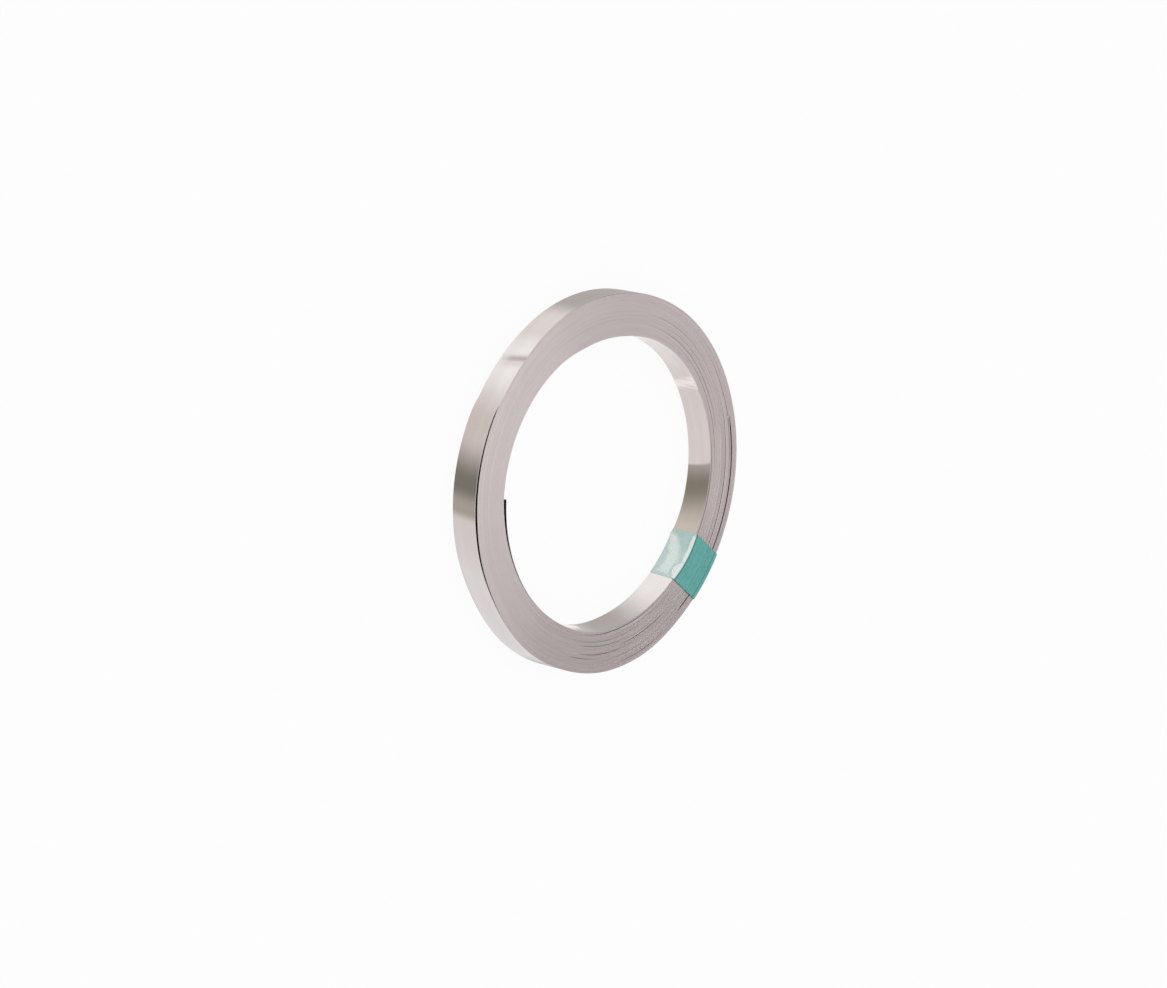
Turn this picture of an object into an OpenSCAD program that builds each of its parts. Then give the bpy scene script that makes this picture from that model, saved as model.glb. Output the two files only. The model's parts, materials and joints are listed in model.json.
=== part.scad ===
// Coil of flat nickel strip, wound turn on turn and held by one band of adhesive tape.
// Lengths are in millimetres and angles in degrees. The coil lies on one end, with its axis along Z
// and the middle of its bore above the origin. Angles run from +X towards +Y, as seen from above.

/* [Strip] */
// Width of the strip
strip_w = 10; // [4:0.5:25]
// Thickness of the strip
strip_t = 0.2; // [0.15:0.05:0.4]

/* [Coil] */
// Diameter of the bore, which is the first turn's inner face
bore_d = 100; // [60:1:150]
// Number of turns of strip
turns = 70; // [40:1:110]
// Number of turns that lie flush with each other between one step and the next
step_turns = 5; // [4:1:10]
// Number of turns that lie flush next to the bore, and next to the rim
flush_turns = 8; // [8:1:16]
// Furthest that a step has slipped along the axis, either way
turn_slip = 0.2; // [0.1:0.05:0.4]

/* [Inner end of the strip] */
// Angle where the inner end stands
inner_end_angle = 176; // [150:1:200]
// Gap between the inner end and the turn behind it
inner_end_lift = 1; // [0.6:0.1:1.2]
// Arc over which the inner end comes back to the coil
inner_end_arc = 54; // [30:1:80]
// Arc over which the second turn comes in to the bore, ahead of the inner end
lead_in_arc = 58; // [40:1:85]

/* [Loose outer turn] */
// Angle where the gap behind the outer turn is widest
loose_angle = 180; // [150:1:200]
// Gap there between the outer turn and the coil
loose_lift = 1.2; // [0.4:0.1:1.6]
// Arc over which the outer turn is loose
loose_arc = 70; // [40:1:100]

/* [Tape] */
// Width of the tape
tape_w = 18; // [8:1:25]
// Thickness of the tape
tape_t = 0.08; // [0.05:0.01:0.15]
// Angle of the tape's middle
tape_angle = 319; // [290:1:345]
// Length of the tape's lap over itself, across the coil's rim
tape_lap = 8; // [3:0.5:9]

/* [Hidden] */
$fn = 180;

strip_colour = "silver";
tape_colour = "lightseagreen";

bore_r = bore_d / 2;
coil_r = bore_r + turns * strip_t;
// Half the coil's length along its axis, out to the steps that slipped furthest
half_span = strip_w / 2 + turn_slip;
// How far cutting tools run past what they cut
overrun = 1;
// Straight pieces that a gap's side is drawn with
gap_pieces = 24;
// A gap's narrow end, as a share of its widest place
gap_tip_share = 0.15;

// Turns lie flush in steps. The winding wandered along the axis in slow waves and short jumps,
// both counted in steps, and each step stopped at a half or a whole slip.
slow_wave_steps = 7.3;
jump_wave_steps = 2.6;
jump_share = 0.7;
step_count = ceil((turns - 2 * flush_turns) / step_turns);
function wander(step) = sin(360 * step / slow_wave_steps) + jump_share * sin(360 * step / jump_wave_steps);
function slip(step) = turn_slip * max(-1, min(1, round(2 * wander(step)) / 2));
// The turn that a step starts with
function first_turn(step) = min(turns - flush_turns, flush_turns + step * step_turns);
function turn_r(turn) = bore_r + turn * strip_t;

// One end of the coil's section, from the bore to the rim, with the flush turns at no slip
function end_edge(side) = concat(
    [[bore_r, side * strip_w / 2], [turn_r(flush_turns), side * strip_w / 2]],
    [
        for (step = [0 : step_count - 1], last = [0, 1])
            [turn_r(first_turn(step + last)), side * strip_w / 2 + slip(step)]
    ],
    [[turn_r(turns - flush_turns), side * strip_w / 2], [coil_r, side * strip_w / 2]]
);
function reversed(points) = [for (i = [len(points) - 1 : -1 : 0]) points[i]];

module wound_turns() {
    rotate_extrude()
        polygon(concat(end_edge(1), reversed(end_edge(-1))));
}

function at(angle, r) = r * [cos(angle), sin(angle)];
function gap_share(piece) = piece / gap_pieces;

// A cut right through the coil along its axis, from an outline in the coil's plane
module axial_cut(outline) {
    linear_extrude(2 * (half_span + overrun), center = true)
        polygon(outline);
}

// The gap narrows to its tip as the square of the way that is left, as a sprung strip does
function inner_end_gap(share) =
    inner_end_lift * (gap_tip_share + (1 - gap_tip_share) * pow(1 - share, 2));
// Ahead of the inner end, the second turn leaves the bore at once and then levels off
function lead_in_depth(share) = (inner_end_lift + strip_t) * sin(90 * share);

// Frees the inner end of the strip: the lead-in ahead of it, and the gap behind it
module inner_end_cut() {
    start = inner_end_angle - lead_in_arc;
    axial_cut(concat(
        [at(start, bore_r - overrun)],
        [
            for (piece = [0 : gap_pieces - 1])
                at(start + lead_in_arc * gap_share(piece), bore_r + lead_in_depth(gap_share(piece)))
        ],
        [
            for (piece = [0 : gap_pieces])
                at(inner_end_angle + inner_end_arc * gap_share(piece),
                   turn_r(1) + inner_end_gap(gap_share(piece)))
        ],
        [
            for (piece = [gap_pieces : -1 : 0])
                at(inner_end_angle + inner_end_arc * gap_share(piece), turn_r(1))
        ],
        [at(inner_end_angle, bore_r - overrun)]
    ));
}

// The outer turn bridges a low place in the coil, and the gap under it is widest in the middle
function outer_gap(share) =
    loose_lift * (gap_tip_share + (1 - gap_tip_share) * pow(sin(180 * share), 2));

module outer_gap_cut() {
    start = loose_angle - loose_arc / 2;
    under_r = turn_r(turns - 1);
    axial_cut(concat(
        [
            for (piece = [0 : gap_pieces])
                at(start + loose_arc * gap_share(piece), under_r)
        ],
        [
            for (piece = [gap_pieces : -1 : 0])
                at(start + loose_arc * gap_share(piece), under_r - outer_gap(gap_share(piece)))
        ]
    ));
}

// Lifts what is drawn about the middle of the coil, so that the tape under it lies at no height
module lying() {
    translate([0, 0, half_span + tape_t])
        children();
}

module strip_coil() {
    color(strip_colour)
        lying()
            difference() {
                wound_turns();
                inner_end_cut();
                outer_gap_cut();
            }
}

// A ring about the axis, from its inner and outer radius and its length
module ring(inner_r, outer_r, length) {
    difference() {
        cylinder(length, r = outer_r, center = true);
        cylinder(length + 2 * overrun, r = inner_r, center = true);
    }
}

// Wraps the coil's whole section, with its ends lapped across the rim
module tape_band() {
    color(tape_colour)
        lying()
            intersection() {
                rotate(tape_angle)
                    translate([0, -tape_w / 2, -half_span - overrun])
                        cube([2 * coil_r, tape_w, 2 * (half_span + overrun)]);
                union() {
                    difference() {
                        ring(bore_r - tape_t, coil_r + tape_t, 2 * (half_span + tape_t));
                        ring(bore_r, coil_r, 2 * half_span);
                    }
                    translate([0, 0, tape_lap / 2 - half_span - tape_t])
                        ring(coil_r, coil_r + 2 * tape_t, tape_lap);
                }
            }
}

strip_coil();
tape_band();
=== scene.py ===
"""Coil of flat nickel strip with its band of tape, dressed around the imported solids."""

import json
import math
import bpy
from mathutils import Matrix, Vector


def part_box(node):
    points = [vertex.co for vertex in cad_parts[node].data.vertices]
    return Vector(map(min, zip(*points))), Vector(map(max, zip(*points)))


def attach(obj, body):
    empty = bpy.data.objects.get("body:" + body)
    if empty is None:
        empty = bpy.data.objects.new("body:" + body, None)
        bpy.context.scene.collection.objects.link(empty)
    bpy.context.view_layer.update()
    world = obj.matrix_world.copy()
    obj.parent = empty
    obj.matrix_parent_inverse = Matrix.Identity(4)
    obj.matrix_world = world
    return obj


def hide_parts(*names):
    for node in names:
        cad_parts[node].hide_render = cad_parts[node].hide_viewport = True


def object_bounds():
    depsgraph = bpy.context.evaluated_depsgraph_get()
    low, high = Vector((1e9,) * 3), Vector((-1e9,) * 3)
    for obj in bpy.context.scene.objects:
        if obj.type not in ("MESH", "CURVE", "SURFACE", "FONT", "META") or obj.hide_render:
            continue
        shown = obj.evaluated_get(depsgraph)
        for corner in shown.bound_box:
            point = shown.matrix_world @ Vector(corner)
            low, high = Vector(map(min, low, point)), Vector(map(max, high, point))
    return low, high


bl_info = {
    "name": "Nickel strip coil",
    "version": (1, 0, 0),
    "blender": (4, 5, 0),
    "location": "View3D > Sidebar > Nickel strip",
    "description": "Winds a flat nickel strip into a coil, tapes it and sets it on a pale stage",
    "category": "Object",
}

import bpy
from mathutils import Matrix, Vector

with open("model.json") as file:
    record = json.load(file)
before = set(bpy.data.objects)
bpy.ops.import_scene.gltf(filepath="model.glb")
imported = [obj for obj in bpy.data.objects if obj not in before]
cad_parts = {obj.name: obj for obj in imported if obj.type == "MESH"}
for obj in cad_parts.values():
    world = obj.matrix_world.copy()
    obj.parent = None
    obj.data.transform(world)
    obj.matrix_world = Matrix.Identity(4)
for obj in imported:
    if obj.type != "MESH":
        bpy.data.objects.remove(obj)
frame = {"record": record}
CAD_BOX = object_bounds()

MM = 0.001
FULL_TURN = 360.0

BORE = next(mount for mount in frame["record"]["mounts"] if mount["name"] == "bore")
BORE_RADIUS = BORE["dims"]["r_mm"] * MM
STRIP_WIDTH = BORE["dims"]["length_mm"] * MM
MIDDLE_HEIGHT = BORE["pos_m"][2]
COIL_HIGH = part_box("strip_coil")[1]
TAPE_LOW, TAPE_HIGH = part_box("tape_band")
RIM_RADIUS = COIL_HIGH.x
END_HEIGHT = COIL_HIGH.z - MIDDLE_HEIGHT
TAPE_MIDDLE = (TAPE_LOW + TAPE_HIGH) / 2

# Angles are in degrees, from +X towards +Y as seen from above.
INNER_END_ANGLE = 176.0
LEAD_IN_ARC = 58.0
INNER_END_ARC = 54.0

# An arc is (start, stop, degrees over which it sets in, degrees over which it dies away).
# The coil is a little out of round: each arc of the bore and the rim, and how far it stands out.
BORE_WAVES = (((60, 120, 26, 18), -0.9 * MM), ((238, 282, 20, 20), 0.4 * MM), ((25, 66, 20, 20), 0.3 * MM))
RIM_WAVES = (((190, 234, 18, 22), -0.4 * MM), ((245, 306, 24, 24), 0.7 * MM), ((20, 70, 20, 20), 0.2 * MM),
             ((160, 226, 26, 40), -0.3 * MM))

# Where the outermost turn has sprung off the others, and how far.
OUTER_TURN_LIFTS = (((66, 122, 26, 26), 0.1 * MM), ((112, 218, 60, 48), 0.7 * MM),
                    ((160, 226, 26, 40), 0.3 * MM))

# Where turns further in have parted: the share of the turns inside the gap, its arc and its width.
PARTED_TURNS = (
    (0.81, (303, 372, 3, 3), 0.42 * MM),
    (0.62, (306, 392, 6, 44), 0.20 * MM),
    (0.49, (307, 400, 6, 50), 0.16 * MM),
    (0.70, (306, 382, 6, 30), 0.18 * MM),
    (0.91, (325, 425, 20, 40), 0.05 * MM),
    (0.76, (345, 410, 20, 40), 0.08 * MM),
    (0.55, (360, 440, 20, 30), 0.12 * MM),
    (0.40, (350, 436, 20, 40), 0.12 * MM),
    (0.28, (5, 78, 20, 30), 0.10 * MM),
    (0.18, (350, 424, 20, 30), 0.08 * MM),
    (0.72, (262, 302, 14, 14), 0.14 * MM),
    (0.55, (238, 284, 24, 20), 0.16 * MM),
    (0.45, (268, 304, 16, 12), 0.10 * MM),
    (0.34, (250, 282, 8, 20), 0.12 * MM),
    (0.24, (240, 296, 24, 14), 0.12 * MM),
    (0.16, (262, 310, 14, 14), 0.10 * MM),
    (0.07, (250, 302, 16, 24), 0.13 * MM),
    (0.06, (318, 384, 8, 44), 0.13 * MM),
    (0.88, (270, 296, 14, 10), 0.10 * MM),
    (0.64, (244, 264, 8, 10), 0.12 * MM),
)

# Where the inner turns lean in towards their lower end, and how far they do at the bore.
LEANING_TURNS = ((236, 340, 24, 18), 0.85 * MM)

# Arcs over which turns have slipped along the axis, and the share of the slip that other arcs have.
SLIPPED_ARCS = ((320, 450, 30, 70), (220, 310, 40, 26))
SLIP_ELSEWHERE = 0.07

# Turns slip in groups: the share of each wave, its waves in a turn of winding and where it starts.
GROUP_WAVES = ((0.55, 0.131, 0.10), (0.45, 0.083, 0.35))
GROUP_STEEPNESS = 4
GROUP_SHARE = 0.75
# The wave in which single turns slip: its waves in a turn of winding and where it starts.
SINGLE_WAVE = (0.371, 0.2)

# The outermost turn stands above the others on this arc. It starts to rise so many turns before the
# strip's outer end, and has risen after so many more.
STANDING_ARC = (110, 150, 24, 8)
STANDING_FROM = 1.4
STANDING_RISE = 0.4

# Creases across the strip: angle, depth, half length and how strongly the metal there is dulled and darkened
# with painted shade.
OUTER_CREASE = (131.0, 0.2 * MM, 1.3 * MM, 0.85)
INNER_CREASE = (30.0, 0.12 * MM, 1.0 * MM, 0.0)
# Half lengths on either side of a crease that get finer faces, and the cuts in each face.
CREASE_ROOM = 5
CREASE_CUTS = 9
# A fainter line of painted shade runs beside a crease: its share of the crease's mark, and how many half
# lengths away it is.
CREASE_TRACE = (0.3, 1.9)
# The share of the crease's dulling and painted shade left at the strip's lower edge, where that starts to
# grow and over how much of the width.
CREASE_FADE = (0.35, -0.35, 0.4)

# Grain of the strip's face: waves in a metre along it, and waves across its width.
ROLLING_LINES = (6.0, 70.0)
FACE_CLOUDS = (25.0, 2.0)
# Waves in a metre along the slit edge, where its tone changes from turn to turn.
EDGE_TONES = 4.3
# Spots in a metre of the film: its mottled colour and its fine relief.
FILM_MOTTLE = 700.0
FILM_RELIEF = 400.0

# The ranges of the noises over which a finish goes from its one end to its other.
LINES_RANGE = (0.3, 0.75)
CLOUDS_RANGE = (0.35, 0.7)
NOISE_RANGE = (0.3, 0.7)
# What each finish is at those two ends: the share of its colour, and its roughness.
FACE_SHADES = (0.97, 1.03)
FACE_ROUGHNESS = (0.06, 0.13)
EDGE_SHADES = (0.92, 1.06)
EDGE_ROUGHNESS = (0.48, 0.36)
FILM_SHADES = (0.94, 1.08)
FILM_ROUGHNESS = (0.24, 0.30)

# How far up or down the metal faces where the slit edge's finish sets in, and where it is complete.
EDGE_FACING = (0.5, 0.75)
# The crease's mark: its colour, dark with painted shade, and its dull roughness.
CREASE_SHADE_COLOUR = (0.46, 0.39, 0.37, 1.0)
CREASE_ROUGHNESS = 0.32
# The share of the film's colour where it is deepest.
DEEP_SHADE = 0.55

# Faces of the film across its width and along its length.
FILM_FACES = (48, 260)
# How far the film's fold reaches out over the coil's end, in millimetres: at its sides, and how much
# further in its middle.
FOLD_REACH = (0.4, 0.35)
# Crinkles of the film on the coil's end: their height, and the length of a radian of their two waves.
CRINKLE_HEIGHT = 0.016 * MM
CRINKLE_LENGTHS = (0.21 * MM, 0.37 * MM)

# Corners blunter than these are smooth.
SMOOTH_STRIP = math.radians(35)
SMOOTH_FILM = math.radians(50)

FLOOR_COLOUR = (0.92, 0.92, 0.92, 1.0)
WHITE = (1.0, 1.0, 1.0, 1.0)
# Share of plain white that the camera and the metal see in the floor. The rest keeps the shadow.
FLOOR_WHITE = 0.92


def smooth_step(value):
    """Rise from 0 to 1 with level ends as value goes from 0 to 1."""
    value = min(1.0, max(0.0, value))
    return value * value * (3 - 2 * value)


def on_arc(angle, arc):
    """How far an arc has set in at an angle, from 0 to 1."""
    start, stop, rising, falling = arc
    along = (angle - start) % FULL_TURN
    if along >= stop - start:
        return 0.0
    return smooth_step(along / rising) * smooth_step((stop - start - along) / falling)


class StripSizes(bpy.types.PropertyGroup):
    """Sizes of the strip and of its winding"""

    width: bpy.props.FloatProperty(
        name="Width", description="Width of the strip", default=STRIP_WIDTH, unit="LENGTH")
    thickness: bpy.props.FloatProperty(
        name="Thickness", description="Thickness of the metal", default=0.187 * MM, unit="LENGTH")
    edge_chamfer: bpy.props.FloatProperty(
        name="Edge", description="Worn corner along each slit edge", default=0.016 * MM, unit="LENGTH")
    bore_radius: bpy.props.FloatProperty(
        name="Bore", description="Radius of the first turn's inner face", default=BORE_RADIUS, unit="LENGTH")
    rim_radius: bpy.props.FloatProperty(
        name="Rim", description="Radius of the last turn's outer face", default=RIM_RADIUS, unit="LENGTH")
    turns: bpy.props.IntProperty(
        name="Turns", description="Whole turns of the winding", default=69, min=2)
    outer_end_angle: bpy.props.FloatProperty(
        name="Outer end", description="Angle of the outer end, under the tape", default=322.0)
    pieces: bpy.props.IntProperty(
        name="Pieces", description="Straight pieces that the flat strip is made of", default=10400, min=100)
    slip: bpy.props.FloatProperty(
        name="Slip", description="How far turns wander along the axis", default=0.2 * MM, unit="LENGTH")
    inner_lift: bpy.props.FloatProperty(
        name="Inner end gap", description="Gap behind the inner end", default=1.15 * MM, unit="LENGTH")
    stand_up: bpy.props.FloatProperty(
        name="Stand up", description="How far the outer turn stands above the others near its crease",
        default=0.9 * MM, unit="LENGTH")
    face_colour: bpy.props.FloatVectorProperty(
        name="Face", description="Colour of the bright rolled face", default=(0.85, 0.805, 0.785), size=3,
        subtype="COLOR")
    edge_colour: bpy.props.FloatVectorProperty(
        name="Slit edge", description="Colour of the satin slit edge", default=(0.80, 0.72, 0.715), size=3,
        subtype="COLOR")


class TapeSizes(bpy.types.PropertyGroup):
    """Sizes and colours of the band of tape"""

    width: bpy.props.FloatProperty(
        name="Width", description="Width of the tape", default=18 * MM, unit="LENGTH")
    thickness: bpy.props.FloatProperty(
        name="Thickness", description="Thickness of the film", default=0.08 * MM, unit="LENGTH")
    lap: bpy.props.FloatProperty(
        name="Lap", description="Length of the lap across the rim", default=8 * MM, unit="LENGTH")
    corner: bpy.props.FloatProperty(
        name="Corner", description="Radius where the film turns a corner", default=0.7 * MM, unit="LENGTH")
    slack: bpy.props.FloatProperty(
        name="Slack", description="How far the film stands off the rim", default=0.4 * MM, unit="LENGTH")
    lift: bpy.props.FloatProperty(
        name="Lift", description="How far the film stands off the bore", default=0.8 * MM, unit="LENGTH")
    colour: bpy.props.FloatVectorProperty(
        name="Film", description="Colour where the film is stuck down", default=(0.125, 0.43, 0.395), size=3,
        subtype="COLOR")
    # Pale colour for air under the film, which also carries the film's painted sheen and highlights.
    air_and_sheen_colour: bpy.props.FloatVectorProperty(
        name="Lifted film", description="Colour where air lies under the film", default=(0.86, 0.93, 0.905),
        size=3, subtype="COLOR")


class StageSettings(bpy.types.PropertyGroup):
    """Camera, light and floor"""

    face_turn: bpy.props.FloatProperty(
        name="Face turn", description="Turn of the coil's end away from the camera",
        default=math.radians(47.1), subtype="ANGLE")
    look_down: bpy.props.FloatProperty(
        name="Look down", description="Tilt of the view across the coil's end",
        default=math.radians(13.96), subtype="ANGLE")
    distance: bpy.props.FloatProperty(
        name="Distance", description="From the camera to the coil", default=1.28, unit="LENGTH")
    lens: bpy.props.FloatProperty(
        name="Lens", description="Focal length", default=118.5, unit="CAMERA")
    coil_right: bpy.props.FloatProperty(
        name="Right", description="The coil's middle, right of the picture's", default=5.5 * MM,
        unit="LENGTH")
    coil_up: bpy.props.FloatProperty(
        name="Up", description="The coil's middle, above the picture's", default=4.4 * MM, unit="LENGTH")
    floor_size: bpy.props.FloatProperty(
        name="Floor", description="Width of the floor", default=6.0, unit="LENGTH")
    sky_strength: bpy.props.FloatProperty(
        name="Sky", description="Strength of the soft light all round", default=0.85)


def deselect_all():
    """Leave edit mode and select nothing, because operators act on all that is selected."""
    if bpy.context.object and bpy.context.object.mode != "OBJECT":
        bpy.ops.object.mode_set(mode="OBJECT")
    bpy.ops.object.select_all(action="DESELECT")


def choose(piece, kind, wanted):
    """Enter edit mode with only the wanted faces or edges of a piece selected."""
    bpy.context.view_layer.objects.active = piece
    bpy.ops.object.mode_set(mode="EDIT")
    bpy.ops.mesh.select_mode(type=kind)
    bpy.ops.mesh.select_all(action="DESELECT")
    bpy.ops.object.mode_set(mode="OBJECT")
    parts = piece.data.polygons if kind == "FACE" else piece.data.edges
    for part in parts:
        part.select = wanted(part)
    bpy.ops.object.mode_set(mode="EDIT")


def apply_all_modifiers(piece):
    """Apply a piece's modifiers in their order."""
    bpy.context.view_layer.objects.active = piece
    for name in [modifier.name for modifier in piece.modifiers]:
        bpy.ops.object.modifier_apply(modifier=name)


class Nodes:
    """Short words for building a material's or a world's node tree."""

    def __init__(self, tree):
        self.tree = tree
        tree.nodes.clear()

    def add(self, kind, inputs=None, **settings):
        node = self.tree.nodes.new(kind)
        for name, value in settings.items():
            setattr(node, name, value)
        for name, value in (inputs or {}).items():
            self.feed(node.inputs[name], value)
        return node

    def feed(self, socket, value):
        if isinstance(value, bpy.types.NodeSocket):
            self.tree.links.new(value, socket)
        else:
            socket.default_value = value

    def math(self, operation, first, second=0.0):
        node = self.add("ShaderNodeMath", operation=operation)
        self.feed(node.inputs[0], first)
        self.feed(node.inputs[1], second)
        return node.outputs[0]

    def ramp(self, value, low, high, to_low=0.0, to_high=1.0):
        node = self.add("ShaderNodeMapRange", clamp=True, interpolation_type="SMOOTHSTEP")
        for name, number in (("Value", value), ("From Min", low), ("From Max", high),
                             ("To Min", to_low), ("To Max", to_high)):
            self.feed(node.inputs[name], number)
        return node.outputs["Result"]

    def noise(self, vector, scale, detail=2.0, roughness=0.5):
        node = self.add("ShaderNodeTexNoise", {
            "Vector": vector, "Scale": scale, "Detail": detail, "Roughness": roughness})
        return node.outputs["Fac"]

    def point(self, x, y):
        return self.add("ShaderNodeCombineXYZ", {"X": x, "Y": y}).outputs["Vector"]

    def stretched(self, along, across, rates):
        return self.point(self.math("MULTIPLY", along, rates[0]), self.math("MULTIPLY", across, rates[1]))

    def mix(self, share, first, second, kind="RGBA"):
        node = self.add("ShaderNodeMix", data_type=kind)
        sockets = [socket for socket in node.inputs if socket.enabled]
        for socket, value in zip(sockets, (share, first, second)):
            self.feed(socket, value)
        return next(socket for socket in node.outputs if socket.enabled)

    def shaded(self, share, colour, shades):
        return self.mix(share, with_alpha(colour, shades[0]), with_alpha(colour, shades[1]))

    def attribute(self, name):
        return self.add("ShaderNodeAttribute", attribute_name=name).outputs["Fac"]


def with_alpha(colour, scale=1.0):
    """A colour as four numbers, brightened or darkened."""
    return (*[part * scale for part in colour], 1.0)


def new_material(name):
    """An empty material and its node tree."""
    material = bpy.data.materials.new(name)
    material.use_nodes = True
    return material, Nodes(material.node_tree)


def rolled_nickel(sizes, length):
    """Bright rolled faces with lines along the strip, and satin slit edges that differ from turn to turn."""
    material, nodes = new_material("rolled_nickel")
    place = nodes.add("ShaderNodeUVMap", uv_map="strip_uv").outputs["UV"]
    parts = nodes.add("ShaderNodeSeparateXYZ", {"Vector": place})
    along = nodes.math("MULTIPLY", parts.outputs["X"], length)
    across = parts.outputs["Y"]
    facing = nodes.add("ShaderNodeSeparateXYZ", {
        "Vector": nodes.add("ShaderNodeNewGeometry").outputs["Normal"]}).outputs["Z"]
    edge = nodes.ramp(nodes.math("ABSOLUTE", facing), *EDGE_FACING)

    lines = nodes.noise(nodes.stretched(along, across, ROLLING_LINES), 1.0, 3.0, 0.6)
    cloud = nodes.noise(nodes.stretched(along, across, FACE_CLOUDS), 1.0, 3.0)
    turn_tone = nodes.noise(nodes.point(nodes.math("MULTIPLY", along, EDGE_TONES), 7.0), 1.0, 2.0, 0.7)

    face = nodes.shaded(nodes.ramp(cloud, *CLOUDS_RANGE), sizes.face_colour, FACE_SHADES)
    slit = nodes.shaded(nodes.ramp(turn_tone, *NOISE_RANGE), sizes.edge_colour, EDGE_SHADES)
    # The crease's mark darkens the face with painted shade and makes it duller.
    crease = nodes.attribute("crease_dull_and_shade")
    face = nodes.mix(crease, face, CREASE_SHADE_COLOUR)
    colour = nodes.mix(edge, face, slit)
    face_roughness = nodes.ramp(lines, *LINES_RANGE, *FACE_ROUGHNESS)
    face_roughness = nodes.mix(crease, face_roughness, CREASE_ROUGHNESS, "FLOAT")
    edge_roughness = nodes.ramp(turn_tone, *NOISE_RANGE, *EDGE_ROUGHNESS)
    roughness = nodes.mix(edge, face_roughness, edge_roughness, "FLOAT")
    relief = nodes.add("ShaderNodeBump", {"Strength": 0.05, "Distance": 0.02 * MM, "Height": lines})
    shader = nodes.add("ShaderNodeBsdfPrincipled", {
        "Base Color": colour, "Metallic": 1.0, "Roughness": roughness, "Normal": relief.outputs["Normal"]})
    nodes.add("ShaderNodeOutputMaterial", {"Surface": shader.outputs["BSDF"]})
    return material


def tape_film(sizes):
    """Thin glossy film: deep where it sticks to the metal, pale where air lies under it and where its sheen
    and highlights are painted in as pale colour.
    """
    material, nodes = new_material("tape_film")
    pale_air_and_sheen = nodes.attribute("pale_air_and_sheen")
    deep = nodes.attribute("deep")
    place = nodes.add("ShaderNodeTexCoord").outputs["Object"]
    mottle = nodes.noise(place, FILM_MOTTLE, 3.0)
    stuck = nodes.shaded(nodes.ramp(mottle, *NOISE_RANGE), sizes.colour, FILM_SHADES)
    stuck = nodes.mix(deep, stuck, with_alpha(sizes.colour, DEEP_SHADE))
    # Pale where air lies under the film and where its sheen and highlights are painted.
    colour = nodes.mix(pale_air_and_sheen, stuck, with_alpha(sizes.air_and_sheen_colour))
    relief = nodes.add("ShaderNodeBump", {
        "Strength": 0.03, "Distance": 0.1 * MM, "Height": nodes.noise(place, FILM_RELIEF, 2.0)})
    # Where it is pale the film is made partly metallic, which brightens its painted sheen.
    shader = nodes.add("ShaderNodeBsdfPrincipled", {
        "Base Color": colour, "Roughness": nodes.ramp(mottle, *NOISE_RANGE, *FILM_ROUGHNESS), "IOR": 1.5,
        "Metallic": nodes.ramp(pale_air_and_sheen, 0.2, 1.0, 0.0, 0.3), "Normal": relief.outputs["Normal"]})
    nodes.add("ShaderNodeOutputMaterial", {"Surface": shader.outputs["BSDF"]})
    return material


def pale_floor():
    """White to the camera and in reflections, and still darkened by the coil's shadow."""
    material, nodes = new_material("pale_floor")
    rays = nodes.add("ShaderNodeLightPath")
    seen = nodes.math("MAXIMUM", rays.outputs["Is Camera Ray"], rays.outputs["Is Glossy Ray"])
    cloth = nodes.add("ShaderNodeBsdfDiffuse", {"Color": FLOOR_COLOUR})
    glow = nodes.add("ShaderNodeEmission", {"Color": WHITE, "Strength": 1.0})
    share = nodes.math("MULTIPLY", seen, FLOOR_WHITE)
    mixed = nodes.add("ShaderNodeMixShader", {"Fac": share})
    nodes.feed(mixed.inputs[1], cloth.outputs["BSDF"])
    nodes.feed(mixed.inputs[2], glow.outputs["Emission"])
    nodes.add("ShaderNodeOutputMaterial", {"Surface": mixed.outputs["Shader"]})
    return material


def card_paper(name, tone):
    """Plain toned card that fades out towards its soft ends."""
    material, nodes = new_material(name)
    paper = nodes.add("ShaderNodeEmission", {"Color": with_alpha(tone), "Strength": 1.0})
    clear = nodes.add("ShaderNodeBsdfTransparent")
    mixed = nodes.add("ShaderNodeMixShader", {"Fac": nodes.attribute("cover")})
    nodes.feed(mixed.inputs[1], clear.outputs["BSDF"])
    nodes.feed(mixed.inputs[2], paper.outputs["Emission"])
    nodes.add("ShaderNodeOutputMaterial", {"Surface": mixed.outputs["Shader"]})
    return material


def lit_card(name):
    """Plain white card that is lit more on one side than on the other."""
    material, nodes = new_material(name)
    paper = nodes.add("ShaderNodeEmission", {
        "Color": (1.0, 0.99, 0.99, 1.0), "Strength": nodes.attribute("light")})
    nodes.add("ShaderNodeOutputMaterial", {"Surface": paper.outputs["Emission"]})
    return material


def whole_winding(sizes):
    """Degrees that the strip winds from its inner end to its outer end."""
    return FULL_TURN * sizes.turns + sizes.outer_end_angle - INNER_END_ANGLE


def inner_hump(sizes, angle):
    """How far the second turn stands outside the bore to pass over the strip's inner end."""
    ahead = (INNER_END_ANGLE - angle) % FULL_TURN
    behind = (angle - INNER_END_ANGLE) % FULL_TURN
    if ahead <= LEAD_IN_ARC:
        return sizes.inner_lift * math.sin(math.pi / 2 * (1 - ahead / LEAD_IN_ARC))
    if behind <= INNER_END_ARC:
        return sizes.inner_lift * (1 - behind / INNER_END_ARC) ** 2
    return 0.0


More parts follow.
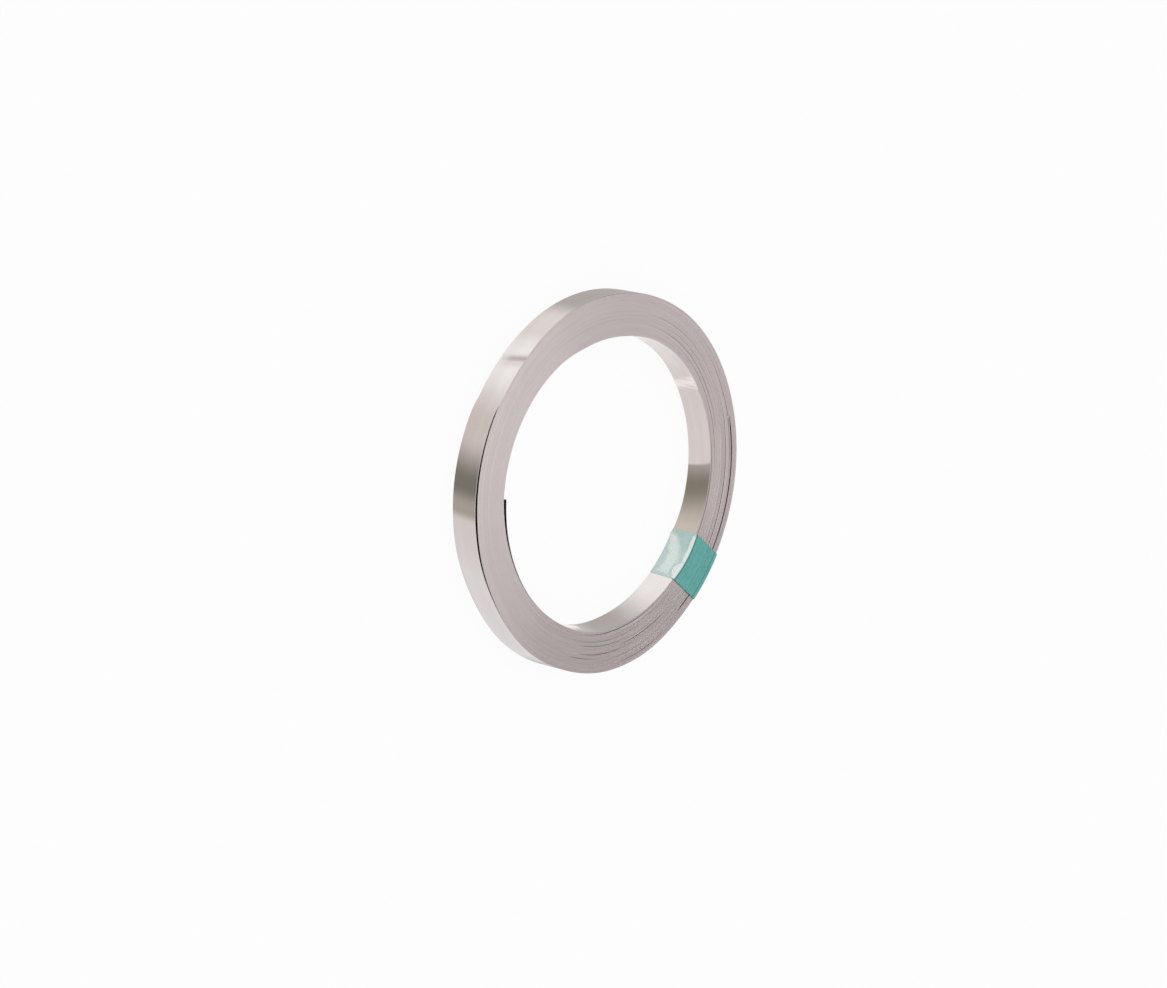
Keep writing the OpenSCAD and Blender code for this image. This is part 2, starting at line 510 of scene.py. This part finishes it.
def winding_radius(sizes, wound):
    """Radius of the strip's middle after it has wound so many degrees from its inner end."""
    whole = whole_winding(sizes)
    share = wound / whole
    angle = (INNER_END_ANGLE + wound) % FULL_TURN
    hump = inner_hump(sizes, angle) * smooth_step((wound - INNER_END_ARC) / FULL_TURN * 2)
    inner = sizes.bore_radius + sizes.thickness / 2 + hump
    inner += sum(lift * on_arc(angle, arc) for arc, lift in BORE_WAVES)
    outer = sizes.rim_radius - sizes.thickness / 2
    outer += sum(lift * on_arc(angle, arc) for arc, lift in RIM_WAVES)
    radius = inner + (outer - inner) * share
    for place, arc, gap in PARTED_TURNS:
        passed = math.floor((wound - (arc[0] - INNER_END_ANGLE) % FULL_TURN) / FULL_TURN)
        outside = 1.0 if passed >= place * sizes.turns else 0.0
        radius += gap * on_arc(angle, arc) * (outside - share)
    if wound > whole - FULL_TURN:
        radius += sum(lift * on_arc(angle, arc) for arc, lift in OUTER_TURN_LIFTS)
    return radius


def winding_height(sizes, wound):
    """Height of the strip's middle: turns lie in small groups that have slipped along the axis."""
    angle = (INNER_END_ANGLE + wound) % FULL_TURN
    turn = wound / FULL_TURN
    groups = 0.0
    for share, rate, start in GROUP_WAVES:
        groups += share * math.tanh(GROUP_STEEPNESS * math.sin(2 * math.pi * (rate * turn + start)))
    rate, start = SINGLE_WAVE
    single = math.sin(2 * math.pi * (rate * turn + start))
    loose = max(on_arc(angle, arc) for arc in SLIPPED_ARCS)
    loose = SLIP_ELSEWHERE + (1 - SLIP_ELSEWHERE) * loose
    height = MIDDLE_HEIGHT + sizes.slip * loose * (GROUP_SHARE * groups + (1 - GROUP_SHARE) * single)
    left = (whole_winding(sizes) - wound) / FULL_TURN
    last = smooth_step((STANDING_FROM - left) / STANDING_RISE)
    return height + sizes.stand_up * last * on_arc(angle, STANDING_ARC)


def leaned(point):
    """Where a point of the straight winding comes to lie once the inner turns lean in."""
    arc, far = LEANING_TURNS
    radius = math.hypot(point.x, point.y)
    angle = math.degrees(math.atan2(point.y, point.x)) % FULL_TURN
    inside = (RIM_RADIUS - radius) / (RIM_RADIUS - BORE_RADIUS)
    low = 0.5 - (point.z - MIDDLE_HEIGHT) / STRIP_WIDTH
    leaning = far * on_arc(angle, arc) * smooth_step(inside) * low
    out = 1 - leaning / radius
    return Vector((point.x * out, point.y * out, point.z))


def winding_point(sizes, wound):
    """A point on the middle of the strip's path."""
    angle = math.radians(INNER_END_ANGLE + wound)
    radius = winding_radius(sizes, wound)
    return (radius * math.cos(angle), radius * math.sin(angle), winding_height(sizes, wound))


class NICKEL_OT_wind_strip(bpy.types.Operator):
    """Make the strip flat at its real length, then wind it along its path into the coil"""

    bl_idname = "nickel.wind_strip"
    bl_label = "Wind strip"

    def execute(self, context):
        sizes = context.scene.nickel_strip
        path, reached = self.lay_path(sizes)
        strip = self.flat_strip(sizes, reached[-1])
        winding = strip.modifiers.new("winding", "CURVE")
        winding.object = path
        winding.deform_axis = "POS_X"
        apply_all_modifiers(strip)
        bpy.data.objects.remove(path)
        for vertex in strip.data.vertices:
            vertex.co = leaned(vertex.co)
        strip.data.attributes.new("crease_dull_and_shade", "FLOAT", "POINT")
        whole = whole_winding(sizes)
        outer = whole - (sizes.outer_end_angle - OUTER_CREASE[0]) % FULL_TURN
        inner = (INNER_CREASE[0] - INNER_END_ANGLE) % FULL_TURN
        self.crease(strip, sizes, reached, outer, OUTER_CREASE)
        self.crease(strip, sizes, reached, inner, INNER_CREASE)
        bpy.ops.object.shade_smooth_by_angle(angle=SMOOTH_STRIP)
        strip.data.materials.append(rolled_nickel(sizes, reached[-1]))
        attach(strip, "root")
        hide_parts("strip_coil")
        return {"FINISHED"}

    def lay_path(self, sizes):
        """The spiral that the strip follows, one point for each degree, and the length reached at each."""
        points = [winding_point(sizes, float(degree)) for degree in range(int(whole_winding(sizes)) + 1)]
        reached = [0.0]
        for before, after in zip(points, points[1:]):
            reached.append(reached[-1] + math.dist(before, after))
        curve = bpy.data.curves.new("winding_path", "CURVE")
        curve.dimensions = "3D"
        curve.twist_mode = "Z_UP"
        spline = curve.splines.new("POLY")
        spline.points.add(len(points) - 1)
        spline.points.foreach_set("co", [part for point in points for part in (*point, 1.0)])
        path = bpy.data.objects.new("winding_path", curve)
        bpy.context.scene.collection.objects.link(path)
        return path, reached

    def flat_strip(self, sizes, length):
        """One short piece of strip with worn corners, repeated to the whole length and closed at its ends."""
        deselect_all()
        step = length / sizes.pieces
        bpy.ops.mesh.primitive_cube_add(
            size=1, location=(step / 2, 0, 0), scale=(step, sizes.thickness, sizes.width))
        bpy.ops.object.transform_apply(location=True, rotation=True, scale=True)
        strip = bpy.context.object
        strip.name = strip.data.name = "wound_strip"
        self.open_ends(strip)
        self.wear_corners(strip, sizes)
        self.lay_uv(strip, sizes, length)
        repeat = strip.modifiers.new("whole_length", "ARRAY")
        repeat.count = sizes.pieces
        repeat.use_relative_offset = False
        repeat.use_constant_offset = True
        repeat.constant_offset_displace = (step, 0, 0)
        repeat.use_merge_vertices = True
        repeat.merge_threshold = sizes.edge_chamfer / 2
        repeat.offset_u = step / length
        apply_all_modifiers(strip)
        bpy.ops.object.mode_set(mode="EDIT")
        bpy.ops.mesh.select_all(action="SELECT")
        bpy.ops.mesh.fill_holes(sides=8)
        bpy.ops.mesh.normals_make_consistent(inside=False)
        bpy.ops.object.mode_set(mode="OBJECT")
        return strip

    def open_ends(self, strip):
        """Take off both ends of the piece, so that neighbours join into one strip."""
        choose(strip, "FACE", lambda face: abs(face.normal.x) > 0.5)
        bpy.ops.mesh.delete(type="ONLY_FACE")
        bpy.ops.object.mode_set(mode="OBJECT")

    def wear_corners(self, strip, sizes):
        """Bevel the four long corners."""
        def runs_along(edge):
            first, last = (strip.data.vertices[index].co for index in edge.vertices)
            return abs(first.x - last.x) > sizes.thickness

        choose(strip, "EDGE", runs_along)
        bpy.ops.mesh.bevel(offset=sizes.edge_chamfer, segments=1)
        bpy.ops.object.mode_set(mode="OBJECT")

    def lay_uv(self, strip, sizes, length):
        """U runs along the whole strip, and V across its width."""
        layer = strip.data.uv_layers.active or strip.data.uv_layers.new()
        layer.name = "strip_uv"
        for loop in strip.data.loops:
            point = strip.data.vertices[loop.vertex_index].co
            layer.data[loop.index].uv = (point.x / length, point.z / sizes.width + 0.5)

    def crease(self, strip, sizes, reached, wound, crease):
        """Dent the strip across its width, on finer faces, and mark the metal there as dulled and darkened
        with painted shade.
        """
        angle, depth, half_length, dull_and_shade = crease
        middle = reached[round(wound)]
        mesh = strip.data
        near = CREASE_ROOM * half_length

        def close_by(face):
            along = mesh.uv_layers["strip_uv"].data[face.loop_start].uv.x * reached[-1]
            return abs(along - middle) < near

        choose(strip, "FACE", close_by)
        bpy.ops.mesh.subdivide(number_cuts=CREASE_CUTS)
        bpy.ops.object.mode_set(mode="OBJECT")
        marks = mesh.attributes["crease_dull_and_shade"].data
        outward = Vector((math.cos(math.radians(angle)), math.sin(math.radians(angle)), 0))
        sideways = Vector((-outward.y, outward.x, 0))
        trace_share, trace_away = CREASE_TRACE
        least, fade_from, fade_over = CREASE_FADE
        chosen = {index for face in mesh.polygons if face.select for index in face.vertices}
        for index in chosen:
            point = mesh.vertices[index].co
            share = point.dot(sideways) / half_length
            rise = (point.z - MIDDLE_HEIGHT) / sizes.width
            dent = math.exp(-(share + rise) ** 2)
            trace = trace_share * math.exp(-(share + rise - trace_away) ** 2)
            fade = least + (1 - least) * smooth_step((rise - fade_from) / fade_over)
            # The mark both dulls the metal and darkens it with painted shade, with a fainter painted line
            # beside the dent.
            marks[index].value = dull_and_shade * (dent + trace) * fade
            mesh.vertices[index].co = point - outward * depth * dent


class NICKEL_OT_wrap_tape(bpy.types.Operator):
    """Lay the tape flat, then wrap it round the coil's section with its ends lapped across the rim"""

    bl_idname = "nickel.wrap_tape"
    bl_label = "Wrap tape"

    def execute(self, context):
        sizes = context.scene.nickel_tape
        route = self.route(sizes)
        deselect_all()
        columns, rows = FILM_FACES
        bpy.ops.mesh.primitive_grid_add(x_subdivisions=columns, y_subdivisions=rows, size=1)
        tape = bpy.context.object
        tape.name = tape.data.name = "tape_film"
        # The film's paleness: air under it, and its painted sheen and highlights.
        pale_air_and_sheen = tape.data.attributes.new("pale_air_and_sheen", "FLOAT", "POINT")
        deep = tape.data.attributes.new("deep", "FLOAT", "POINT")
        middle = math.atan2(TAPE_MIDDLE.y, TAPE_MIDDLE.x)
        for vertex in tape.data.vertices:
            across = vertex.co.x
            sideways = across * sizes.width
            # Air here is the film's paleness, painted sheen included.
            radius, height, air, dark = self.wrapped(sizes, route, vertex.co.y + 0.5, across)
            out = math.sqrt(radius ** 2 - sideways ** 2)
            vertex.co = leaned(Vector((
                out * math.cos(middle) - sideways * math.sin(middle),
                out * math.sin(middle) + sideways * math.cos(middle),
                MIDDLE_HEIGHT + height)))
            pale_air_and_sheen.data[vertex.index].value = air
            deep.data[vertex.index].value = dark
        bpy.ops.object.mode_set(mode="EDIT")
        bpy.ops.mesh.select_all(action="SELECT")
        bpy.ops.mesh.normals_make_consistent(inside=False)
        bpy.ops.object.mode_set(mode="OBJECT")
        film = tape.modifiers.new("film", "SOLIDIFY")
        film.thickness = sizes.thickness
        film.offset = 0
        apply_all_modifiers(tape)
        bpy.ops.object.shade_smooth_by_angle(angle=SMOOTH_FILM)
        tape.data.materials.append(tape_film(sizes))
        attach(tape, "root")
        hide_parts("tape_band")
        return {"FINISHED"}

    def route(self, sizes):
        """The film's way round the section, as points of radius and height with round corners."""
        close = sizes.thickness / 2
        rim = RIM_RADIUS + close + sizes.slack
        bore = BORE_RADIUS - close
        top = END_HEIGHT + close + sizes.slack / 4
        bottom = -END_HEIGHT - close
        corners = [(rim, bottom + sizes.lap / 4), (rim, top), (bore, top), (bore, bottom),
                   (rim + sizes.thickness, bottom), (rim + sizes.thickness, bottom + sizes.lap)]
        points = [corners[0]]
        for before, corner, after in zip(corners, corners[1:], corners[2:]):
            points.extend(round_corner(before, corner, after, sizes.corner))
        points.append(corners[-1])
        return points

    def wrapped(self, sizes, route, share, across):
        """Radius, height, paleness and depth of colour at a share of the route and of the width."""
        radius, height = along_route(route, share)
        up = height / END_HEIGHT
        at_side, further = FOLD_REACH
        fold_radius = BORE_RADIUS + (at_side + further * math.cos(math.pi * across)) * MM
        on_bore = smooth_step((fold_radius - radius) / (0.25 * MM))
        # This air includes the painted sheen and the highlight along the fold, which also lift the film.
        air, stuck = self.air_and_painted_sheen(up, across)
        air *= on_bore
        radius -= sizes.lift * air * smooth_step((1.02 - up) / 0.12)
        pale = on_bore * (0.67 - stuck + (0.28 + stuck) * air)

        on_top = smooth_step((height - END_HEIGHT + 0.1 * MM) / (0.1 * MM))
        fine, broad = CRINKLE_LENGTHS
        wave = math.sin(radius / fine) + 0.8 * math.sin(radius / broad + 2)
        height += CRINKLE_HEIGHT * on_top * wave
        inner_edge = on_top * smooth_step((fold_radius + 1.0 * MM - radius) / (0.8 * MM))
        outer_half = 0.15 + 0.6 * smooth_step((radius - (BORE_RADIUS + RIM_RADIUS) / 2) / (3 * MM))
        streak = on_top * smooth_step((wave - 0.4) / 1.0) * outer_half
        return radius, height, pale, max(inner_edge, streak)

    def air_and_painted_sheen(self, up, across):
        """How much air lies under the film on the bore, with its broad sheen and the highlight along its fold
        painted in as air, and how much closer it sticks beside that.

        Up runs from -1 to 1 over the coil's height, and across from -0.5 to 0.5 over the film's width.
        """
        ripple = 0.05 * math.sin(17 * across + 1) + 0.03 * math.sin(29 * across + 4 * up)
        # The broad sheen is a painted highlight, made pale and raised like air under the film. It bends down
        # towards one side of the film and gets narrower there.
        sheen_middle = 0.1 - 1.9 * max(0.0, across)
        sheen_half = 0.66 - 0.6 * max(0.0, across - 0.1)
        sheen = smooth_step((1 - abs((up - sheen_middle + ripple) / sheen_half)) / 0.6)
        sheen *= smooth_step((0.46 - abs(across)) / 0.1)
        # The fold runs along the coil's upper corner, painted pale as the highlight on that corner.
        fold = smooth_step((up - 0.86) / 0.08) * smooth_step((0.49 - abs(across)) / 0.08)
        # A round pocket hangs from the fold, with a seam along its edge where the film is stuck.
        pocket_edge = 0.5 + 1.5 * (across + 0.3) ** 2 / 0.1 * (1 if across > -0.3 else 0.6)
        beside = smooth_step((-0.02 - across) / 0.06)
        pocket = smooth_step((up - pocket_edge) / 0.1) * beside
        seam = math.exp(-((up - pocket_edge) / 0.07) ** 2) * beside
        # A narrow blister stands along one side of the film.
        blister = smooth_step(1 - abs((across + 0.42 + 0.3 * ripple) / 0.06))
        blister *= smooth_step((0.8 - abs(up)) / 0.5)
        air = min(1.0, max(0.8 * sheen, fold, pocket, 0.8 * blister)) * (1 - 0.8 * seam)
        stuck = 0.14 * smooth_step((across - 0.02) / 0.15) * smooth_step((up - sheen_middle) / 0.4)
        return air, stuck


def round_corner(before, corner, after, radius):
    """Points of an arc that rounds one corner of a path."""
    corner, before, after = Vector(corner), Vector(before), Vector(after)
    start = corner + (before - corner).normalized() * radius
    stop = corner + (after - corner).normalized() * radius
    steps = 6
    points = []
    for step in range(steps + 1):
        share = step / steps
        points.append(tuple(start.lerp(corner, share).lerp(corner.lerp(stop, share), share)))
    return points


def along_route(points, share):
    """The point at a share of a path's length."""
    lengths = [math.dist(points[i], points[i + 1]) for i in range(len(points) - 1)]
    left = share * sum(lengths)
    for i, length in enumerate(lengths):
        if left <= length or i == len(lengths) - 1:
            part = min(1.0, left / length)
            return tuple(a + (b - a) * part for a, b in zip(points[i], points[i + 1]))
        left -= length


# Toned cards laid flat round the rim and in the bore, which show in the bright metal:
# name, radius of the wall they lie along, arc, tone and how far their edges are swung round.
CARDS = (
    ("grey_card", RIM_RADIUS, (60, 130, 14, 26), (0.48, 0.455, 0.44), 0),
    ("rose_card", RIM_RADIUS, (102, 124, 11, 7), (0.82, 0.78, 0.77), 0),
    ("beige_card", RIM_RADIUS, (134, 176, 18, 1), (0.68, 0.62, 0.595), 8),
    ("cool_card", RIM_RADIUS, (176, 262, 1, 6), (0.79, 0.785, 0.80), 0),
    ("slate_card", RIM_RADIUS, (234, 268, 12, 6), (0.55, 0.53, 0.54), 0),
    ("silver_card", RIM_RADIUS, (175, 205, 1, 26), (0.74, 0.71, 0.70), 8),
    ("dusk_card", RIM_RADIUS, (168, 181, 5, 3), (0.43, 0.40, 0.36), 8),
    ("olive_card", RIM_RADIUS, (156, 176, 13, 5), (0.21, 0.205, 0.175), 8),
    ("bore_beige_card", BORE_RADIUS, (326, 356, 3, 1), (0.65, 0.60, 0.545), -5),
    ("bore_silver_card", BORE_RADIUS, (355, 446, 1, 60), (0.76, 0.725, 0.715), -5),
    ("bore_dusk_card", BORE_RADIUS, (345, 356, 6, 1), (0.40, 0.375, 0.345), -5),
    ("bore_olive_card", BORE_RADIUS, (330, 355, 17, 7), (0.25, 0.23, 0.185), -5),
    ("bore_glint_card", BORE_RADIUS, (27, 34, 3, 3), (1.0, 0.97, 0.96), -5),
)

# The bore gathers a view that grazes it, so its card at the bottom is short and its far part stands up.
LOW_CARD = ("bore_grey_card", BORE_RADIUS, (246, 302, 22, 27), (0.48, 0.46, 0.45), 0)

# Cards like the first ones, for the sides that face away from the camera.
FAR_CARDS = (
    ("far_grey_card", RIM_RADIUS, (262, 316, 6, 30), (0.50, 0.48, 0.465), 0),
    ("far_rose_card", RIM_RADIUS, (296, 340, 16, 14), (0.83, 0.79, 0.78), 0),
    ("far_beige_card", RIM_RADIUS, (336, 372, 16, 2), (0.68, 0.62, 0.595), 0),
    ("far_olive_card", RIM_RADIUS, (352, 374, 12, 4), (0.25, 0.24, 0.21), 0),
    ("far_silver_card", RIM_RADIUS, (373, 420, 1, 20), (0.74, 0.71, 0.70), 0),
    ("bore_far_grey_card", BORE_RADIUS, (90, 140, 16, 24), (0.50, 0.48, 0.465), 0),
    ("bore_far_beige_card", BORE_RADIUS, (150, 186, 16, 2), (0.68, 0.62, 0.595), 0),
    ("bore_far_olive_card", BORE_RADIUS, (166, 188, 12, 4), (0.25, 0.24, 0.21), 0),
    ("bore_far_silver_card", BORE_RADIUS, (187, 246, 1, 30), (0.76, 0.725, 0.715), 0),
)

# Height of the lowest card above the floor, and from each card to the next.
LOWEST_CARD = 0.01 * MM
CARD_STEP = 0.005 * MM

# How far from the wall's foot the laid cards start and stop.
RIM_CARD_REACH = (-1 * MM, 40 * MM)
BORE_CARD_REACH = (-1 * MM, 19 * MM)
LOW_CARD_REACH = (-0.2 * MM, 8 * MM)

# How far from the bore the standing part of its low card is, and how tall.
LOW_CARD_STAND = (1.7 * MM, 10 * MM)

# The card hung where the coil's end throws the view: its distance, its size, its tone over the
# middle of the coil, the side of the coil where it is lightest and by what share it is lighter there.
END_CARD = (0.22, 0.34, 0.58, 125, 0.27)
END_CARD_FACES = 24
# The least share of its tone that the card has anywhere.
END_CARD_LEAST = 0.2


class NICKEL_OT_set_stage(bpy.types.Operator):
    """Lay the floor and the cards, light them softly and place the camera"""

    bl_idname = "nickel.set_stage"
    bl_label = "Set stage"

    def execute(self, context):
        settings = context.scene.nickel_stage
        self.lay_floor(settings)
        self.light_sky(context.scene, settings)
        back = self.place_camera(context.scene, settings)
        eye = context.scene.camera.location
        for number, card in enumerate(CARDS):
            self.lay_card(card, self.card_height(number), self.card_reach(card), eye)
        self.lay_card(LOW_CARD, self.card_height(len(CARDS)), LOW_CARD_REACH, eye, LOW_CARD_STAND)
        for number, card in enumerate(FAR_CARDS, len(CARDS) + 1):
            self.lay_card(card, self.card_height(number), self.card_reach(card))
        self.hang_end_card(back)
        context.scene.view_settings.view_transform = "Standard"
        return {"FINISHED"}

    def lay_floor(self, settings):
        """A wide plain floor at the level that the coil lies on."""
        deselect_all()
        bpy.ops.mesh.primitive_plane_add(size=settings.floor_size, location=(0, 0, CAD_BOX[0].z))
        floor = bpy.context.object
        floor.name = "floor"
        floor.data.materials.append(pale_floor())

    def card_height(self, number):
        """Height of a card in the pile on the floor, by its number."""
        return CAD_BOX[0].z + LOWEST_CARD + CARD_STEP * number

    def card_reach(self, card):
        """How far a card reaches from the rim or from the bore, whichever it lies along."""
        return RIM_CARD_REACH if card[1] > BORE_RADIUS else BORE_CARD_REACH

    def lay_card(self, card, height, reach, eye=None, stand=None):
        """A card with its edges along the way in which the wall throws a view on the floor.

        The view is the eye's or, where there is none, that of someone straight in front of the wall.
        A card may have a second part that stands up beside the wall.
        """
        name, radius, (start, stop, rising, falling), tone, swing = card
        deselect_all()
        columns = 2 * (stop - start)
        parts = 2 if stand else 1
        bpy.ops.mesh.primitive_grid_add(x_subdivisions=columns, y_subdivisions=parts, size=1)
        sheet = bpy.context.object
        sheet.name = name
        cover = sheet.data.attributes.new("cover", "FLOAT", "POINT")
        for vertex in sheet.data.vertices:
            angle = start + (stop - start) * (vertex.co.x + 0.5)
            turned = math.radians(angle)
            foot = Vector((math.cos(turned), math.sin(turned), 0)) * radius
            facing = self.wall_facing(radius, angle)
            view = (eye - foot).normalized() if eye else facing
            thrown = 2 * facing.dot(view) * facing - view
            way = math.atan2(thrown.y, thrown.x) + math.radians(swing)
            along = Vector((math.cos(way), math.sin(way), 0))
            row = round((vertex.co.y + 0.5) * parts)
            far = reach[min(row, 1)]
            if stand and row:
                # The standing part keeps one distance from the wall.
                far = min(far, stand[0] / max(0.01, along.dot(facing)))
            rise = stand[1] if row == 2 else 0.0
            vertex.co = foot + along * far + Vector((0, 0, height + rise))
            # The card's last column still lies on its arc.
            cover.data[vertex.index].value = on_arc(angle, (start, stop + 0.01, rising, falling))
        sheet.data.materials.append(card_paper(name, tone))
        self.show_in_metal_only(sheet)

    def wall_facing(self, radius, angle):
        """The way in which the rim or the bore faces, with the bore's waves and lean."""
        turned = math.radians(angle)
        outward = Vector((math.cos(turned), math.sin(turned), 0))
        if radius > BORE_RADIUS:
            return outward
        sideways = Vector((-outward.y, outward.x, 0))
        rise = sum(lift * (on_arc(angle + 1, arc) - on_arc(angle - 1, arc)) for arc, lift in BORE_WAVES)
        wave = rise / (math.radians(2) * radius)
        lean = LEANING_TURNS[1] * on_arc(angle, LEANING_TURNS[0]) / STRIP_WIDTH
        return (sideways * wave - outward + Vector((0, 0, lean))).normalized()

    def hang_end_card(self, back):
        """A card where the coil's end throws the camera's view, with an even change of tone across it."""
        distance, size, tone, light_side, share = END_CARD
        thrown = Vector((-back.x, -back.y, back.z))
        middle = Vector((0, 0, COIL_HIGH.z))
        lightest = Vector((math.cos(math.radians(light_side)), math.sin(math.radians(light_side)), 0))
        deselect_all()
        bpy.ops.mesh.primitive_grid_add(
            x_subdivisions=END_CARD_FACES, y_subdivisions=END_CARD_FACES, size=size,
            location=middle + thrown * distance, rotation=thrown.to_track_quat("Z", "Y").to_euler())
        bpy.ops.object.transform_apply(location=True, rotation=True, scale=True)
        sheet = bpy.context.object
        sheet.name = "end_card"
        light = sheet.data.attributes.new("light", "FLOAT", "POINT")
        for vertex in sheet.data.vertices:
            thrown_by = vertex.co - thrown * ((vertex.co.z - middle.z) / thrown.z)
            across = thrown_by.dot(lightest) / RIM_RADIUS
            light.data[vertex.index].value = tone * max(END_CARD_LEAST, 1 + share * across)
        sheet.data.materials.append(lit_card("end_card"))
        self.show_in_metal_only(sheet)

    def show_in_metal_only(self, sheet):
        """Leave a card out of all but the metal's reflections."""
        sheet.visible_camera = False
        sheet.visible_diffuse = False
        sheet.visible_shadow = False

    def light_sky(self, scene, settings):
        """Even white light from all round."""
        scene.world = bpy.data.worlds.new("soft_sky")
        scene.world.use_nodes = True
        nodes = Nodes(scene.world.node_tree)
        sky = nodes.add("ShaderNodeBackground", {"Color": WHITE, "Strength": settings.sky_strength})
        nodes.add("ShaderNodeOutputWorld", {"Surface": sky.outputs["Background"]})

    def place_camera(self, scene, settings):
        """The camera that looks at the coil's end from one side. Returns the way from the coil to it."""
        turn, tilt = settings.face_turn, settings.look_down
        right = Vector((math.cos(turn), 0, math.sin(turn)))
        up = Vector((math.sin(turn) * math.sin(tilt), math.cos(tilt), -math.cos(turn) * math.sin(tilt)))
        back = right.cross(up)
        middle = Vector((0, 0, MIDDLE_HEIGHT))
        aim = middle - right * settings.coil_right - up * settings.coil_up
        camera = bpy.data.objects.new("camera", bpy.data.cameras.new("camera"))
        scene.collection.objects.link(camera)
        camera.data.lens = settings.lens
        camera.matrix_world = Matrix.Translation(aim + back * settings.distance) @ Matrix(
            (right, up, back)).transposed().to_4x4()
        scene.camera = camera
        return back


class NICKEL_PT_coil(bpy.types.Panel):
    """Sizes and steps of the coil"""

    bl_label = "Nickel strip coil"
    bl_idname = "NICKEL_PT_coil"
    bl_space_type = "VIEW_3D"
    bl_region_type = "UI"
    bl_category = "Nickel strip"

    def draw(self, context):
        for group, step in ((context.scene.nickel_strip, "nickel.wind_strip"),
                            (context.scene.nickel_tape, "nickel.wrap_tape"),
                            (context.scene.nickel_stage, "nickel.set_stage")):
            for name in group.__annotations__:
                self.layout.prop(group, name)
            self.layout.operator(step)


CLASSES = (StripSizes, TapeSizes, StageSettings, NICKEL_OT_wind_strip, NICKEL_OT_wrap_tape,
           NICKEL_OT_set_stage, NICKEL_PT_coil)


def register():
    for item in CLASSES:
        bpy.utils.register_class(item)
    bpy.types.Scene.nickel_strip = bpy.props.PointerProperty(type=StripSizes)
    bpy.types.Scene.nickel_tape = bpy.props.PointerProperty(type=TapeSizes)
    bpy.types.Scene.nickel_stage = bpy.props.PointerProperty(type=StageSettings)


def unregister():
    del bpy.types.Scene.nickel_stage
    del bpy.types.Scene.nickel_tape
    del bpy.types.Scene.nickel_strip
    for item in reversed(CLASSES):
        bpy.utils.unregister_class(item)


def main():
    register()
    bpy.ops.nickel.set_stage()
    bpy.ops.nickel.wind_strip()
    bpy.ops.nickel.wrap_tape()


if __name__ == "__main__":
    main()
